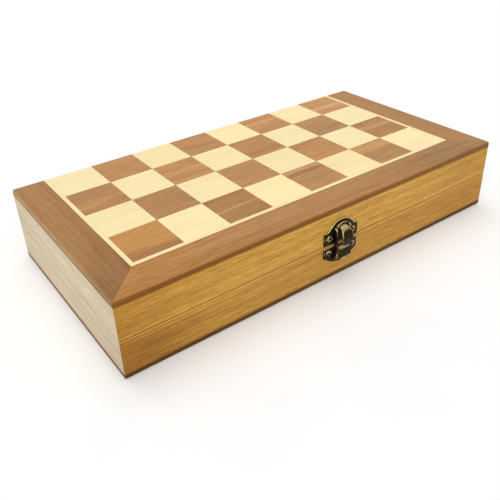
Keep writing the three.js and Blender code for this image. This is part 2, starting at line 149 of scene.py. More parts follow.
# Each wood: its usual colour, how far its broad figure, its growth rings, its long lines, its
# fibres and its short flecks change that colour, how dark its pores are, the length and width of
# its figure in millimetres, how far the grain wanders, how far its rings swirl, its roughness and
# how strongly its face reflects.
WOODS = {
    "walnut": dict(
        colour=(175, 127, 78), figure=0.22, rings=0.08, lines=0.14, fibre=0.24, flecks=0.4,
        pores=0.45, length=110, width=6, drift=3, swirl=16, rough=0.46, shine=0.16,
    ),
    "walnut_veneer": dict(
        colour=(183, 132, 78), figure=0.26, rings=0.12, lines=0.12, fibre=0.2, flecks=0.34,
        pores=0.35, length=60, width=5, drift=4, swirl=22, rough=0.46, shine=0.3,
    ),
    "sapwood": dict(
        colour=(194, 139, 70), figure=0.16, rings=0.10, lines=0.10, fibre=0.14, flecks=0.14,
        pores=0.2, length=50, width=6, drift=6, swirl=22, rough=0.46, shine=0.3,
    ),
    "maple": dict(
        colour=(247, 226, 172), figure=0.07, rings=0.03, lines=0.03, fibre=0.06, flecks=0.06,
        pores=0.1, length=70, width=9, drift=3, swirl=14, rough=0.45, shine=0.35,
    ),
    "oak": dict(
        colour=(197, 147, 61), figure=0.16, rings=0.08, lines=0.2, fibre=0.4, flecks=0.75,
        pores=0.55, length=150, width=4, drift=1.2, swirl=7, rough=0.48, shine=0.2,
    ),
    "ash": dict(
        colour=(207, 189, 156), figure=0.2, rings=0.12, lines=0.22, fibre=0.3, flecks=0.28,
        pores=0.55, length=110, width=5, drift=2.5, swirl=12, rough=0.48, shine=0.35,
    ),
    "plywood": dict(
        colour=(214, 182, 130), figure=0.12, rings=0.05, lines=0.1, fibre=0.12, flecks=0.1,
        pores=0.2, length=60, width=4, drift=2, swirl=10, rough=0.6, shine=0.35,
    ),
    "boxwood": dict(
        colour=(224, 184, 118), figure=0.16, rings=0.16, lines=0.12, fibre=0.16, flecks=0.12,
        pores=0.25, length=40, width=2.5, drift=2, swirl=18, rough=0.32, shine=0.35,
    ),
    "sheesham": dict(
        colour=(88, 48, 29), figure=0.7, rings=0.5, lines=0.4, fibre=0.5, flecks=0.3,
        pores=0.6, length=40, width=2.5, drift=2, swirl=20, rough=0.3, shine=0.35,
    ),
}
RING_PITCH = 3.4  # millimetres between growth rings


def wood(
    name, species, along, seed, tint=1.0, warm=0.0, edge=None, stripes=(), rims=(), tone_shifts=()
):
    """A lacquered wood with its grain along x or y.

    tint and warm change its colour as a whole. edge is painted light and shade, multiplied into
    the faces that look sideways. Each stripe is a streak of another shade along the grain: its
    place and half width across the grain in millimetres, and its colour. Each rim is a line of
    another colour along the sides between two heights in millimetres: the seam's painted
    highlight and painted shadow, and the bands beside the border joints. Each place of another
    tone has a distance along the grain, a reach, and the colour multiplied in there.
    """
    look = WOODS[species]
    s = Shader(name)
    draw = random.Random(seed)
    here = s.parts(s.millimetres())
    run, across = (here[1], here[0]) if along == "y" else (here[0], here[1])
    offset = tuple(draw.uniform(-400, 400) for _ in range(3))
    place = s.vector("ADD", s.join(run, across, here[2]), offset)
    wander = s.noise(s.stretched(place, (look["length"] * 0.7, 35, 35)), 2.0)
    shift = s.math("MULTIPLY", s.math("SUBTRACT", wander, 0.5), 2.0 * look["drift"])
    place = s.vector("ADD", place, s.join(0.0, shift, shift))
    length, width = look["length"], look["width"]
    figure = s.noise(s.stretched(place, (length, width, width)), 3.0, 0.55, 0.3)
    lines = s.noise(s.stretched(place, (130, 1.5, 1.5)), 2.0, 0.6)
    fibre = s.noise(s.stretched(place, (45, 0.6, 0.6)), 3.0, 0.65)
    flecks = s.noise(s.stretched(place, (11, 0.5, 0.5)), 3.0, 0.65)
    ringed = s.parts(place)
    phase = s.math("MULTIPLY", s.math("ADD", ringed[1], ringed[2]), 2 * math.pi / RING_PITCH)
    phase = s.math("ADD", phase, s.math("MULTIPLY", figure, look["swirl"]))
    ring = s.math("SINE", phase)
    shade = 1.0
    for value, middle, weight in (
        (figure, 0.5, look["figure"] * 2.6),
        (ring, 0.0, look["rings"] * 0.6),
        (lines, 0.5, look["lines"] * 2.4),
        (fibre, 0.5, look["fibre"] * 2.2),
        (flecks, 0.5, look["flecks"] * 2.2),
    ):
        part = s.math("MULTIPLY", s.math("SUBTRACT", value, middle), weight)
        shade = s.math("ADD", shade, part)
    red, green, blue = srgb(*look["colour"])
    base = (red * tint * (1 + 0.10 * warm), green * tint, blue * tint * (1 - 0.22 * warm), 1)
    colour = base
    for middle, half, other in stripes:
        wavy = s.math("ADD", across, s.math("MULTIPLY", s.math("SUBTRACT", wander, 0.5), 9.0))
        distance = s.math("ABSOLUTE", s.math("SUBTRACT", wavy, middle))
        cover = s.range(distance, half * 1.3, half * 0.5, 0.0, 0.7)
        colour = s.mix(cover, colour, (*srgb(*other), 1))
    # Darker grain is also redder, so blue falls faster than red as the shade drops.
    tones = [s.math("POWER", s.math("MAXIMUM", shade, 0.05), power) for power in (0.85, 1.0, 1.2)]
    colour = s.mix(1.0, colour, s.add("ShaderNodeCombineColor", dict(enumerate(tones))), "MULTIPLY")
    dashes = s.noise(s.stretched(place, (4.5, 0.26, 0.26)), 1.0, 0.5)
    pores = s.range(dashes, 0.62, 0.74, 0.0, look["pores"])
    colour = s.mix(pores, colour, tuple(channel * 0.35 for channel in base[:3]) + (1,))
    for middle, reach, shade_colour in tone_shifts:
        distance = s.math("ABSOLUTE", s.math("SUBTRACT", run, middle))
        distance = s.math("ADD", distance, s.math("MULTIPLY", s.math("SUBTRACT", figure, 0.5), reach))
        cover = s.add(
            "ShaderNodeMapRange", {"Value": distance, 1: reach, 2: 0.0}, interpolation_type="SMOOTHSTEP"
        )
        colour = s.mix(cover, colour, s.mix(1.0, colour, (*shade_colour, 1), "MULTIPLY"))
    if edge is not None or rims:
        normal = s.parts(s.tree.nodes.new("ShaderNodeTexCoord").outputs["Normal"])
        side = s.range(s.math("ABSOLUTE", normal[2]), 0.85, 0.3)
    # edge paints light and shade onto the sideways faces.
    if edge is not None:
        colour = s.mix(side, colour, s.mix(1.0, colour, (*edge, 1), "MULTIPLY"))
    # Each rim paints a line of another colour along the sides: the seam's painted highlight and painted
    # shadow, and the bands beside the border joints.
    for start, end, shade_colour, strength in rims:
        ragged = s.math("ADD", here[2], s.math("MULTIPLY", s.math("SUBTRACT", fibre, 0.5), 0.5))
        cover = s.math("MULTIPLY", s.range(ragged, start, end, 0.0, strength), side)
        colour = s.mix(cover, colour, (*srgb(*shade_colour), 1))
    height = s.math("SUBTRACT", s.math("MULTIPLY", fibre, 0.5), pores)
    rough = s.range(fibre, 0.2, 0.8, look["rough"] + 0.07, look["rough"] - 0.05)
    return s.finish(
        Base_Color=colour,
        Roughness=rough,
        Normal=s.bump(height, 0.05 * MM, 0.5),
        Coat_Weight=look["shine"] / 6,
        Coat_Roughness=0.3,
        Specular_IOR_Level=look["shine"],
    )


def aged_metal(name, dark, bright, rubbed, seed=0, rough=0.4, upward=(0.55, 0.85)):
    """Metal under a dark patina. rubbed, from 0 to 1, is how much of it is rubbed bright, and
    upward says how steeply a face must look up to get a painted highlight as well."""
    s = Shader(name)
    place = s.millimetres((17.0 * seed, 5.0 * seed, 3.0 * seed))
    patches = s.noise(s.stretched(place, (2.4, 2.4, 2.4)), 4.0, 0.6)
    grain = s.noise(s.stretched(place, (0.3, 0.3, 0.3)), 3.0, 0.6)
    middle = 0.78 - 0.56 * rubbed
    mottle = s.math("ADD", s.math("MULTIPLY", patches, 0.75), s.math("MULTIPLY", grain, 0.25))
    brightened = s.range(mottle, middle - 0.06, middle + 0.06)
    looks_up = s.parts(s.tree.nodes.new("ShaderNodeTexCoord").outputs["Normal"])[2]
    # Faces that look up get a painted highlight, joined into the wear mask below, which then holds
    # both.
    painted_top_highlight = s.range(s.math("ADD", looks_up, s.math("SUBTRACT", patches, 0.5)), *upward)
    brightened = s.math("MAXIMUM", brightened, s.math("MULTIPLY", painted_top_highlight, 0.9))
    deep = tuple(channel * 1.7 for channel in dark)
    patina = s.mix(s.range(patches, 0.35, 0.65), (*srgb(*dark), 1), (*srgb(*deep), 1))
    return s.finish(
        Base_Color=s.mix(brightened, patina, (*srgb(*bright), 1)),
        Metallic=s.range(brightened, 0.0, 1.0, 1.0, 0.5),
        Roughness=s.range(brightened, 0.0, 1.0, rough + 0.1, rough - 0.08),
        Normal=s.bump(s.math("ADD", grain, patches), 0.04 * MM, 0.5),
    )


def paint(piece, *materials):
    piece.data.materials.clear()
    for material in materials:
        piece.data.materials.append(material)


def weld(piece):
    """Joins the triangles of a CAD node along their edges, so that edges can be rounded."""
    if "weld" not in piece.modifiers:
        piece.modifiers.new("weld", "WELD").merge_threshold = 0.001 * MM


def soften(piece, width, segments=2, angle=32, edge_slot=-1, clamp=True):
    """Rounds every edge of a piece that bends by more than an angle, by a width in millimetres.

    The rounded edges get the material of edge_slot, unless it is -1.
    """
    weld(piece)
    bevel = piece.modifiers.new("rounding", "BEVEL")
    bevel.width = width * MM
    bevel.segments = segments
    bevel.limit_method = "ANGLE"
    bevel.angle_limit = math.radians(angle)
    bevel.miter_outer = "MITER_ARC" if clamp else "MITER_SHARP"
    bevel.material = edge_slot
    bevel.use_clamp_overlap = clamp
    normals = piece.modifiers.new("normals", "WEIGHTED_NORMAL")
    normals.keep_sharp = True


def smooth_group(degrees):
    """A modifier that shades every edge smooth which bends by less than an angle."""
    group = bpy.data.node_groups.new("smooth_by_angle", "GeometryNodeTree")
    for way in ("INPUT", "OUTPUT"):
        group.interface.new_socket("Geometry", in_out=way, socket_type="NodeSocketGeometry")
    nodes, link = group.nodes, group.links.new
    start, end = nodes.new("NodeGroupInput"), nodes.new("NodeGroupOutput")
    faces, edges = (nodes.new("GeometryNodeSetShadeSmooth") for _ in range(2))
    faces.domain, edges.domain = "FACE", "EDGE"
    bend, below = nodes.new("GeometryNodeInputMeshEdgeAngle"), nodes.new("ShaderNodeMath")
    below.operation = "LESS_THAN"
    below.inputs[1].default_value = math.radians(degrees)
    link(start.outputs[0], faces.inputs["Geometry"])
    link(faces.outputs[0], edges.inputs["Geometry"])
    link(bend.outputs["Unsigned Angle"], below.inputs[0])
    link(below.outputs[0], edges.inputs["Shade Smooth"])
    link(edges.outputs[0], end.inputs[0])
    return group


def mesh_object(name, build, smooth=False):
    """A new piece. build fills a bmesh in millimetres in the row frame."""
    bm = bmesh.new()
    build(bm)
    bmesh.ops.recalc_face_normals(bm, faces=bm.faces)
    bmesh.ops.scale(bm, vec=(MM, MM, MM), verts=bm.verts)
    mesh = bpy.data.meshes.new(name)
    bm.to_mesh(mesh)
    bm.free()
    for face in mesh.polygons:
        face.use_smooth = smooth
    piece = bpy.data.objects.new(name, mesh)
    bpy.context.scene.collection.objects.link(piece)
    return piece


def wrap(bm, first, second):
    """The side faces between two rings of vertices."""
    for i in range(len(first)):
        j = (i + 1) % len(first)
        bm.faces.new((first[i], first[j], second[j], second[i]))


def block(bm, first, second):
    """A closed block between two rings of points."""
    first, second = ([bm.verts.new(point) for point in ring] for ring in (first, second))
    bm.faces.new(first)
    bm.faces.new(second)
    wrap(bm, first, second)


def prism(bm, outline, low, high):
    """A closed block over an outline of (x, y) points between two heights."""
    block(bm, *([(x, y, z) for x, y in outline] for z in (low, high)))


# ---------------------------------------------------------------- the wooden box

TOP = span("lid_board_panel")[1].z
FIELD_LOW, FIELD_HIGH = span("lid_board_panel")
FILES, RANKS = 8, 4
STRINGING = 2.7
SQUARE = (FIELD_HIGH.x - FIELD_LOW.x - 2 * STRINGING) / FILES
VENEER = 0.6
SEAM = 0.06  # half the hairline between pieces of veneer
CROWN = 0.12  # how far a veneer edge is rounded

BORDER_DEPTH = (span("lid_border_front")[1] - span("lid_border_front")[0]).z
SEAM_HEIGHT = (span("base_front_wall")[1].z + span("lid_front_wall")[0].z) / 2
WALL_ROUNDING, BORDER_ROUNDING = 0.22, 0.12

HALVES = ("base", "lid")
LEFT, RIGHT = round(span("base_left_wall")[0].x), round(span("base_right_wall")[1].x)
FRONT, REAR = round(span("base_front_wall")[0].y), round(span("base_rear_wall")[1].y)


def depth_span(half, shallow, deep):
    """Heights for two depths below a half's outer face."""
    if half == "lid":
        return TOP - deep, TOP - shallow
    return shallow, deep


# Each rail's tint, its warmth, and the places along its grain that are darker, each with its reach
# and the colour multiplied in there.
RAILS = {
    "lid_front": (0.99, 0.0, [(LEFT, 70, (0.76, 0.67, 0.48)), (RIGHT, 90, (0.85, 0.8, 0.5))]),
    "base_front": (0.84, 0.25, [(LEFT, 75, (0.66, 0.54, 0.32)), (RIGHT, 130, (0.88, 0.79, 0.48))]),
    "lid_rear": (1.0, 0.0, [(RIGHT, 60, (0.86, 0.78, 0.6))]),
    "base_rear": (0.9, 0.2, [(LEFT, 90, (0.85, 0.76, 0.55))]),
    "lid_left": (0.91, 0.1, [(REAR, 50, (0.9, 0.89, 0.86))]),
    "base_left": (0.893, 0.1, [(FRONT, 60, (0.86, 0.84, 0.83))]),
    "lid_right": (0.935, 0.1, [(FRONT, 50, (0.9, 0.89, 0.86))]),
    "base_right": (0.91, 0.1, [(REAR, 60, (0.9, 0.88, 0.84))]),
}
# Along the seam, a painted highlight on the base's rim and a painted shadow on the lid's: where the
# line starts and is strongest, in millimetres above the seam, its strength, and its colour on each
# wood.
SEAM_PAINTED_LIGHT = {"base": (-1.0, -0.7, 0.55), "lid": (0.7, 0.4, 0.85)}
SEAM_PAINTED_COLOURS = {
    ("base", "oak"): (240, 192, 112), ("base", "ash"): (226, 209, 176),
    ("lid", "oak"): (146, 100, 44), ("lid", "ash"): (184, 163, 128),
}
# A darker band on the lid's front wall just under its border: where it starts and is strongest, in
# millimetres above the joint, its colour and its strength.
WALL_JOINT_BAND = (-0.75, -0.4, (122, 84, 28), 0.8)


def dress_rails(half):
    start, end, strength = SEAM_PAINTED_LIGHT[half]
    for side in ("front", "rear", "left", "right"):
        node = f"{half}_{side}_wall"
        species, along = ("oak", "x") if side in ("front", "rear") else ("ash", "y")
        tint, warm, tone_shifts = RAILS[f"{half}_{side}"]
        # The seam line: a painted highlight along the base's rim and a painted shadow along the lid's.
        shade = SEAM_PAINTED_COLOURS[half, species]
        rims = [(SEAM_HEIGHT + start, SEAM_HEIGHT + end, shade, strength)]
        if (half, side) == ("lid", "front"):
            joint = TOP - BORDER_DEPTH
            below, above, *look = WALL_JOINT_BAND
            rims.append((joint + below, joint + above, *look))
        rail = wood(f"{species}_{node}", species, along, node, tint, warm, rims=rims, tone_shifts=tone_shifts)
        paint(NODES[node], rail)
        soften(NODES[node], WALL_ROUNDING, 3)


# Each border strip: the way of its grain, its tint, and its places of another tone, as in RAILS.
BORDERS = {
    "front": ("x", 1.0, [(LEFT, 110, (1.02, 0.94, 0.7)), (RIGHT, 110, (0.79, 0.86, 0.94))]),
    "left": ("y", 0.87, [(FRONT, 75, (0.76, 0.74, 0.72))]),
    "right": ("y", 0.98, []),
}
# The painted light and shade on the sides of the border strips, multiplied into the colour of their
# faces: a painted highlight on the lid's ends, and painted shade on the lid's front and the base's
# sides.
BORDER_SIDE_LIGHT_AND_SHADE = {
    ("lid", "front"): (0.56, 0.38, 0.06), ("lid", "ends"): (1.02, 1.26, 1.6),
    ("base", "front"): (0.19, 0.16, 0.03), ("base", "ends"): (0.45, 0.33, 0.22),
}
# A band of another colour on each border beside its joint with the wall: where it starts and is
# strongest, in millimetres from the joint, its colour and its strength.
BORDER_JOINT_BAND = {"lid": (2.0, 1.3, (116, 78, 24), 0.8), "base": (1.0, 0.5, (150, 106, 44), 0.6)}


def dress_border(half):
    joint, outer = (TOP - BORDER_DEPTH, -1) if half == "lid" else (BORDER_DEPTH, 1)
    for side, (along, tint, tone_shifts) in BORDERS.items():
        node = f"{half}_border_{side}"
        # sides: painted light and shade for the strip's sideways faces.
        sides = BORDER_SIDE_LIGHT_AND_SHADE[half, "front" if side == "front" else "ends"]
        start, end, *look = BORDER_JOINT_BAND[half]
        rims = [(joint - start * outer, joint - end * outer, *look)]
        strip = wood(f"walnut_{node}", "walnut", along, node, tint, edge=sides, rims=rims, tone_shifts=tone_shifts)
        paint(NODES[node], strip)
        soften(NODES[node], BORDER_ROUNDING, 3)


# The dark squares that stand out on the lid, by file and rank: their wood, their tint and the
# streaks that cross them, each with its distance and half width from the square's front edge.
MARKED_SQUARES = {
    (0, 0): ("sapwood", 0.98, [(3.0, 5.4, (150, 98, 60))]),
    (2, 0): ("walnut_veneer", 0.81, [(15.0, 1.0, (198, 152, 108))]),
    (4, 0): ("walnut_veneer", 1.0, [(24.0, 2.0, (154, 106, 68)), (28.0, 1.6, (206, 158, 104))]),
    (6, 0): ("walnut_veneer", 0.95, [(25.0, 6.0, (204, 154, 90))]),
    (1, 1): ("walnut_veneer", 0.9, []),
    (7, 1): ("walnut_veneer", 0.86, [(20.0, 3.0, (192, 150, 110))]),
    (0, 2): ("walnut_veneer", 0.89, [(12.0, 4.0, (196, 144, 84))]),
    (2, 2): ("walnut_veneer", 1.04, [(16.0, 2.6, (204, 156, 100))]),
    (6, 2): ("walnut_veneer", 0.97, [(9.0, 1.5, (160, 112, 76))]),
    (1, 3): ("walnut_veneer", 1.03, []),
    (5, 3): ("walnut_veneer", 1.05, [(20.0, 1.6, (204, 160, 114))]),
    (7, 3): ("walnut_veneer", 1.14, [(12.0, 3.0, (212, 172, 128))]),
}


def add_square(half, file, rank, core):
    """One veneer square. File counts from the left and rank from the front."""
    x = FIELD_LOW.x + STRINGING + file * SQUARE
    y = FIELD_LOW.y + STRINGING + rank * SQUARE
    outline = [
        (x + SEAM, y + SEAM),
        (x + SQUARE - SEAM, y + SEAM),
        (x + SQUARE - SEAM, min(y + SQUARE - SEAM, FIELD_HIGH.y)),
        (x + SEAM, min(y + SQUARE - SEAM, FIELD_HIGH.y)),
    ]
    name = f"{half}_square_{'abcdefgh'[file]}{rank + 1}"
    piece = mesh_object(name, lambda bm: prism(bm, outline, *depth_span(half, 0, VENEER)))
    dark = (file + rank) % 2 == 0
    if half == "base":
        dark = not dark
    draw = random.Random(name)
    tint, warm = draw.uniform(0.94, 1.08), draw.uniform(-0.3, 0.4)
    species, streaks = "walnut_veneer" if dark else "maple", []
    if not dark:
        tint, warm = draw.uniform(0.98, 1.03), draw.uniform(-0.2, 0.2)
    elif half == "lid" and (file, rank) in MARKED_SQUARES:
        species, tint, streaks = MARKED_SQUARES[file, rank]
    stripes = [(y + place, half_width, colour) for place, half_width, colour in streaks]
    veneer = wood(f"veneer_{name}", species, "x", name, tint, warm, stripes=stripes)
    paint(piece, veneer)
    soften(piece, CROWN, 2)
    piece.parent = core
    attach(piece, half)


def add_stringing(half, core):
    inner_x = (FIELD_LOW.x + STRINGING, FIELD_HIGH.x - STRINGING)
    low, high = FIELD_LOW, FIELD_HIGH
    front = low.y + STRINGING
    strips = {
        "front": [(low.x, low.y), (high.x, low.y), (inner_x[1], front), (inner_x[0], front)],
        "left": [(low.x, low.y), (inner_x[0], front), (inner_x[0], high.y), (low.x, high.y)],
        "right": [(inner_x[1], front), (high.x, low.y), (high.x, high.y), (inner_x[1], high.y)],
    }
    for side, outline in strips.items():
        name = f"{half}_stringing_{side}"
        piece = mesh_object(name, lambda bm: prism(bm, outline, *depth_span(half, 0, VENEER)))
        along = "x" if side == "front" else "y"
        paint(piece, wood(f"veneer_{name}", "maple", along, name, 1.0, 0.1))
        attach(piece, half)


def add_board(half):
    low, high = span(f"{half}_board_panel")
    outline = [(low.x, low.y), (high.x, low.y), (high.x, high.y), (low.x, high.y)]
    levels = depth_span(half, VENEER, high.z - low.z)
    core = mesh_object(f"{half}_board_core", lambda bm: prism(bm, outline, *levels))
    paint(core, wood(f"plywood_{half}", "plywood", "x", f"core_{half}"))
    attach(core, half)
    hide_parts(f"{half}_board_panel")
    for file in range(FILES):
        for rank in range(RANKS):
            add_square(half, file, rank, core)
    add_stringing(half, core)


for half_name in HALVES:
    dress_rails(half_name)
    dress_border(half_name)
    add_board(half_name)

# ---------------------------------------------------------------- metal fittings

# The dark and bright colour of each metal, and how much of its faces and of its edges is worn.
BRONZE = ((36, 31, 20), (232, 206, 138))
BRASS_COLOURS = ((160, 128, 66), (222, 196, 130))
BRONZE_WORN, BRASS_WORN = (0.14, 0.4), (0.6, 0.8)
HINGE_ROUNDING = 0.12
ROUND = smooth_group(34)


def dress_metal(piece, colours, rubbed, edge_rubbed, width, seed):
    weld(piece)
    piece.modifiers.new("round", "NODES").node_group = ROUND
    # Both get a painted highlight where they look up: the faces only where steep, the edges at a low
    # slope too.
    faces = aged_metal(f"{piece.name}_faces", *colours, rubbed, seed)
    edges = aged_metal(f"{piece.name}_edges", *colours, edge_rubbed, seed, upward=(0.1, 0.4))
    paint(piece, faces, edges)
    soften(piece, width, 3, angle=48, edge_slot=1, clamp=False)


LATCH_ROUNDING = {
    "latch_upper_plate": 0.3, "latch_lower_plate": 0.3, "latch_bail": 0.14, "latch_pin": 0.12
}
for number, (node, width) in enumerate(LATCH_ROUNDING.items()):
    dress_metal(NODES[node], BRONZE, *BRONZE_WORN, width, number)
for number, node in enumerate(sorted(NODES)):
    if node.startswith("hinge_"):
        dress_metal(NODES[node], BRASS_COLOURS, *BRASS_WORN, HINGE_ROUNDING, number)


def lathe(bm, outline, segments, place):
    """A closed body turned from (radius, height) points. place maps (x, y, height) to a point."""
    rings = []
    for number, (radius, height) in enumerate(outline):
        if number and math.dist(outline[number - 1], (radius, height)) < 1e-3:
            continue
        if radius < 1e-4:
            rings.append([bm.verts.new(place(0, 0, height))])
            continue
        angles = [2 * math.pi * k / segments for k in range(segments)]
        points = [place(radius * math.cos(a), radius * math.sin(a), height) for a in angles]
        rings.append([bm.verts.new(point) for point in points])
    for lower, upper in zip(rings, rings[1:]):
        for k in range(segments):
            corners = [lower[k % len(lower)], lower[(k + 1) % len(lower)]]
            corners += [upper[(k + 1) % len(upper)], upper[k % len(upper)]]
            bm.faces.new(list(dict.fromkeys(corners)))


def arc(centre, radius, start, end, steps):
    """(radius, height) points round a centre, from one angle in degrees to another."""
    angles = [math.radians(start + (end - start) * k / steps) for k in range(steps + 1)]
    return [(centre[0] + radius * math.cos(a), centre[1] + radius * math.sin(a)) for a in angles]


def carve(piece, cutter):
    """Cuts one piece with another, and throws the second away."""
    boolean = piece.modifiers.new("carve", "BOOLEAN")
    boolean.operation = "DIFFERENCE"
    boolean.solver = "EXACT"
    boolean.object = cutter
    graph = bpy.context.evaluated_depsgraph_get()
    carved = bpy.data.meshes.new_from_object(piece.evaluated_get(graph))
    piece.modifiers.clear()
    old, piece.data = piece.data, carved
    bpy.data.meshes.remove(old)
    bpy.data.objects.remove(cutter)


def shade_by_angle(piece, degrees=35):
    piece.data.shade_smooth()
    piece.data.set_sharp_from_angle(angle=math.radians(degrees))


def add_screw(name, body, centre, upward, turn):
    """A countersunk screw head with a slot, flush with its hinge leaf."""
    x, y, z = centre
    head = [(0, -0.8), (0.6, -0.8), (1.22, -0.15), (1.22, 0.0), (0.9, 0.12), (0, 0.16)]

    def place(u, v, h):
        return (x + u, y + v, z + h * upward)

    piece = mesh_object(name, lambda bm: lathe(bm, head, 28, place))
    c, n = math.cos(turn), math.sin(turn)
    corners = [(-2, -0.16), (2, -0.16), (2, 0.16), (-2, 0.16)]
    outline = [(x + u * c - v * n, y + u * n + v * c) for u, v in corners]
    depth = sorted((z - 0.3 * upward, z + upward))
    carve(piece, mesh_object("slot", lambda bm: prism(bm, outline, *depth)))
    paint(piece, aged_metal(f"{name}_steel", *BRASS_COLOURS, 0.5, turn))
    shade_by_angle(piece)
    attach(piece, body)


NAIL_HEAD = 1.3


def add_nail(name, body, u, v):
    """A round-headed nail in a punched ring on a latch plate, u across and v up from the seam."""
    low, high = span("latch_lower_plate")
    middle, wall = (low.x + high.x) / 2, high.y
    ring = arc((1.75, 1.0), 0.34, 180, 0, 6)
    head = [(0, 0.5), (2.09, 0.5), (2.09, 1.0)] + ring[::-1] + arc((0, 0.55), NAIL_HEAD, 25, 90, 6)

    def place(a, b, h):
        return (middle + u + a, wall - h, SEAM_HEIGHT + v + b)

    piece = mesh_object(name, lambda bm: lathe(bm, head, 28, place))
    brightened = {"head": 0.15, "ring": 0.52}
    paint(piece, *(aged_metal(f"{name}_{part}", *BRONZE, brightened[part], u + v) for part in brightened))
    axis = Vector(place(0, 0, 0)) * MM
    for face in piece.data.polygons:
        offset = face.center - axis
        face.material_index = int(math.hypot(offset.x, offset.z) > NAIL_HEAD * MM)
    shade_by_angle(piece, 50)
    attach(piece, body)


SCREW_X, SCREW_Y = 8, 5.4  # of a hinge screw from the middle of its leaf and from the hinge line
LEAF_INSET = 0.1
for side in ("left", "right"):
    low, high = span(f"hinge_{side}_pin")
    middle, line = (low + high) / 2, (low.y + high.y) / 2
    for half, leaf in (("base", "lower"), ("lid", "upper")):
        low, high = span(f"hinge_{side}_{leaf}_leaf")
        rim = span(f"{half}_rear_wall")[1 if half == "base" else 0].z
        upward = 1 if half == "base" else -1
        for number, step in enumerate((-SCREW_X, SCREW_X)):
            centre = (middle.x + step, line - SCREW_Y, rim - (LEAF_INSET + 0.12) * upward)
            name = f"hinge_{side}_{leaf}_screw_{number + 1}"
            add_screw(name, half, centre, upward, 0.7 + 0.9 * number + len(name))
for number, (u, v) in enumerate(((-9.6, 5.4), (9.6, 5.4), (-10, -5.2), (10, -5.2))):
    add_nail(f"latch_nail_{number + 1}", "lid" if v > 0 else "base", u, v)

# ---------------------------------------------------------------- chessmen

# Each man's turned outline in millimetres, from its foot up. A point is (radius, height), with a
# bulge where the line to it bows outwards or, below zero, inwards by that share of its length.
FOOT = [(0.9, 0), (1.0, 0.025, 0.2), (1.0, 0.06), (0.9, 0.085, 0.2), (0.86, 0.09)]


def foot(radius, height):
    """The plinth that every man stands on, scaled to him."""
    return [(0, 0)] + [(r * radius, h * height, *bulge) for r, h, *bulge in FOOT]


OUTLINES = {
    "pawn": foot(8, 30) + [
        (6.9, 3.7, 0.35), (6.3, 4.7, 0.3), (5.4, 5.2), (3.2, 9.6, -0.18), (2.5, 14.6, -0.05),
        (2.7, 15.4), (4.4, 16.1, -0.2), (4.4, 16.8, 0.5), (3.0, 17.5), (2.5, 19.6, -0.15),
    ] + [(r, h) for r, h in arc((0, 24.55), 5.45, -62, 90, 12)],
    "rook": foot(8.8, 34) + [
        (7.7, 4.4, 0.35), (7.0, 5.6, 0.3), (6.2, 6.2), (4.7, 11.0, -0.14), (4.2, 19.6, -0.04),
        (4.5, 20.6), (5.9, 21.4, -0.2), (5.9, 22.3, 0.5), (4.9, 23.0), (5.0, 25.0, -0.1),
        (6.5, 27.2, -0.2), (6.7, 27.6), (6.7, 34.0), (4.7, 34.0), (4.7, 30.6), (0, 30.6),
    ],
    "bishop": foot(9, 43) + [
        (7.9, 5.4, 0.35), (7.1, 6.6, 0.3), (6.2, 7.4), (3.6, 13.6, -0.18), (2.8, 22.6, -0.05),
        (3.0, 23.6), (5.2, 24.6, -0.2), (5.2, 25.5, 0.5), (3.6, 26.4), (4.4, 27.3, 0.4),
        (3.2, 28.2, 0.4), (2.6, 29.2, -0.2), (4.9, 32.6, 0.14), (4.6, 35.6, 0.1),
        (1.3, 40.0, 0.1),
    ] + [(r, h) for r, h in arc((0, 41.5), 1.5, -38, 90, 7)],
    "queen": foot(9.8, 46.5) + [
        (8.6, 5.7, 0.35), (7.8, 7.0, 0.3), (6.8, 7.9), (3.9, 15.0, -0.18), (3.1, 27.4, -0.05),
        (3.4, 28.6), (5.9, 29.6, -0.2), (5.9, 30.6, 0.5), (4.1, 31.4), (4.9, 32.3, 0.4),
        (3.6, 33.2, 0.4), (3.5, 34.6, -0.1), (6.8, 41.6, -0.1), (6.2, 42.4), (5.2, 42.0),
        (3.6, 43.0, 0.2), (1.4, 43.6),
    ] + [(r, h) for r, h in arc((0, 44.9), 1.6, -55, 90, 7)],
    "king": foot(10.25, 56) + [
        (9.0, 6.0, 0.35), (8.2, 7.4, 0.3), (7.1, 8.4), (4.2, 16.4, -0.18), (3.3, 31.2, -0.05),
        (3.6, 32.5), (6.2, 33.6, -0.2), (6.2, 34.7, 0.5), (4.3, 35.6), (5.2, 36.6, 0.4),
        (3.9, 37.6, 0.4), (3.8, 38.8, -0.1), (6.7, 46.2, -0.08), (6.3, 47.0, 0.3),
        (5.6, 47.2), (1.6, 49.4, 0.18), (1.2, 49.9), (0, 49.9),
    ],
    "knight": foot(9, 39) + [
        (7.9, 5.0, 0.35), (7.1, 6.2, 0.3), (6.9, 7.0), (6.3, 9.4, -0.1), (6.8, 10.2, 0.4),
        (6.4, 10.9, 0.3), (0, 11.4),
    ],
}
MAN_SEGMENTS = 44
BULGE_STEPS = 5
CORONET_POINTS, CORONET_HEIGHT = 8, 43.0


def bowed(points):
    """An outline with each bulge filled in."""
    outline = [points[0][:2]]
    for point in points[1:]:
        (r0, h0), (r1, h1) = outline[-1], point[:2]
        if len(point) > 2:
            out_r, out_h = (h1 - h0) * point[2] * 2, (r0 - r1) * point[2] * 2
            for k in range(1, BULGE_STEPS):
                t = k / BULGE_STEPS
                bow = t * (1 - t) * 2
                outline.append((r0 + (r1 - r0) * t + out_r * bow, h0 + (h1 - h0) * t + out_h * bow))
        outline.append((r1, h1))
    return outline


def lying(node):
    """A map from a standing man's own axes to where the man of a CAD node lies."""
    low, high = span(node)
    x, z = (low.x + high.x) / 2, (low.z + high.z) / 2
    if "pawn" in node:
        return lambda u, v, h: (x - u, high.y - h, z + v)
    return lambda u, v, h: (x + u, low.y + h, z + v)


